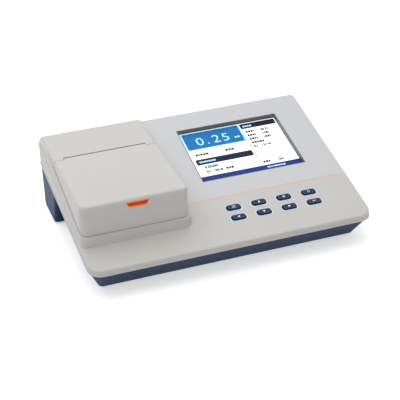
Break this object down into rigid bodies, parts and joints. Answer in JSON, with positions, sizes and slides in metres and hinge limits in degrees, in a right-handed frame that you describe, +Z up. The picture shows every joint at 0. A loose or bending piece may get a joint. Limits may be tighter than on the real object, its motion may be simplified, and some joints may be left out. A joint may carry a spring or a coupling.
{
  "type": "bench turbidity meter",
  "caption": "Bench turbidity meter: wedge-shaped housing with sloping panel, colour screen and push keys, hinged box lid over a compartment with a well for a round sample cell.",
  "frame": {"origin": "on the table, under the middle of the body's width and depth", "axes": "+X to the right seen from the keys, +Y to the rear with the connectors, +Z up"},
  "size_m": [0.3, 0.2106, 0.0825],
  "materials": {
    "white_plastic": "fine satin texture",
    "blue_plastic": "fine satin texture",
    "orange_plastic": "smooth",
    "black_plastic": "matt, light absorbing",
    "grey_plastic": "matt",
    "key_plastic": "smooth",
    "clear_window": "polished",
    "clear_glass": "polished",
    "screen": "lit colour screen",
    "steel": "zinc plated",
    "sensor_metal": "plated can",
    "socket_metal": "nickel plated",
    "connector_plastic": "moulded",
    "circuit_board": "lacquered",
    "foam": "soft foam",
    "rubber": "matt"
  },
  "bodies": {
    "housing": {"top_shell": "white_plastic", "base_shell": "blue_plastic", "lid_seal": "foam", "sample_tray": "black_plastic", "cell_holder": "black_plastic", "holder_screws": "steel", "collimating_lens": "clear_glass", "lamp": "clear_glass", "lamp_socket": "connector_plastic", "transmitted_light_detector": "sensor_metal", "scattered_light_detector": "sensor_metal", "display_bezel": "grey_plastic", "display_window": "clear_window", "display_module": "screen", "clamp_frame": "steel", "clamp_screws": "steel", "key_board": "circuit_board", "key_switches": "connector_plastic", "key_board_screws": "steel", "main_board": "circuit_board", "board_components": "connector_plastic", "board_screws": "steel", "connector_board": "circuit_board", "power_jack": "connector_plastic", "usb_socket": "socket_metal", "serial_socket": "socket_metal", "hex_studs": "steel", "rubber_feet": "rubber", "case_screws": "steel"},
    "lid": {"sample_lid": "white_plastic", "finger_pull": "orange_plastic", "lid_liner": "black_plastic", "liner_screws": "steel", "hinge_pin_left": "steel", "hinge_pin_right": "steel"},
    "mode_key": {"key_mode": "key_plastic"},
    "up_key": {"key_up": "key_plastic"},
    "adjust_key": {"key_adjust": "key_plastic"},
    "power_key": {"key_power": "key_plastic"},
    "left_key": {"key_left": "key_plastic"},
    "down_key": {"key_down": "key_plastic"},
    "right_key": {"key_right": "key_plastic"},
    "enter_key": {"key_enter": "key_plastic"}
  },
  "joints": [
    {"name": "lid_hinge", "type": "hinge", "parent": "housing", "child": "lid", "pos_m": [-0.09085, 0.04105, 0.08], "axis": [-1, 0, 0], "range_deg": [0, 95]},
    {"name": "mode_press", "type": "slide", "parent": "housing", "child": "mode_key", "axis": [0, 0.2215, -0.9751], "range_m": [0, 0.0008], "stiffness_N_per_m": 500, "springref_m": -0.002},
    {"name": "up_press", "type": "slide", "parent": "housing", "child": "up_key", "axis": [0, 0.2215, -0.9751], "range_m": [0, 0.0008], "stiffness_N_per_m": 500, "springref_m": -0.002},
    {"name": "adjust_press", "type": "slide", "parent": "housing", "child": "adjust_key", "axis": [0, 0.2215, -0.9751], "range_m": [0, 0.0008], "stiffness_N_per_m": 500, "springref_m": -0.002},
    {"name": "power_press", "type": "slide", "parent": "housing", "child": "power_key", "axis": [0, 0.2215, -0.9751], "range_m": [0, 0.0008], "stiffness_N_per_m": 500, "springref_m": -0.002},
    {"name": "left_press", "type": "slide", "parent": "housing", "child": "left_key", "axis": [0, 0.2215, -0.9751], "range_m": [0, 0.0008], "stiffness_N_per_m": 500, "springref_m": -0.002},
    {"name": "down_press", "type": "slide", "parent": "housing", "child": "down_key", "axis": [0, 0.2215, -0.9751], "range_m": [0, 0.0008], "stiffness_N_per_m": 500, "springref_m": -0.002},
    {"name": "right_press", "type": "slide", "parent": "housing", "child": "right_key", "axis": [0, 0.2215, -0.9751], "range_m": [0, 0.0008], "stiffness_N_per_m": 500, "springref_m": -0.002},
    {"name": "enter_press", "type": "slide", "parent": "housing", "child": "enter_key", "axis": [0, 0.2215, -0.9751], "range_m": [0, 0.0008], "stiffness_N_per_m": 500, "springref_m": -0.002}
  ]
}
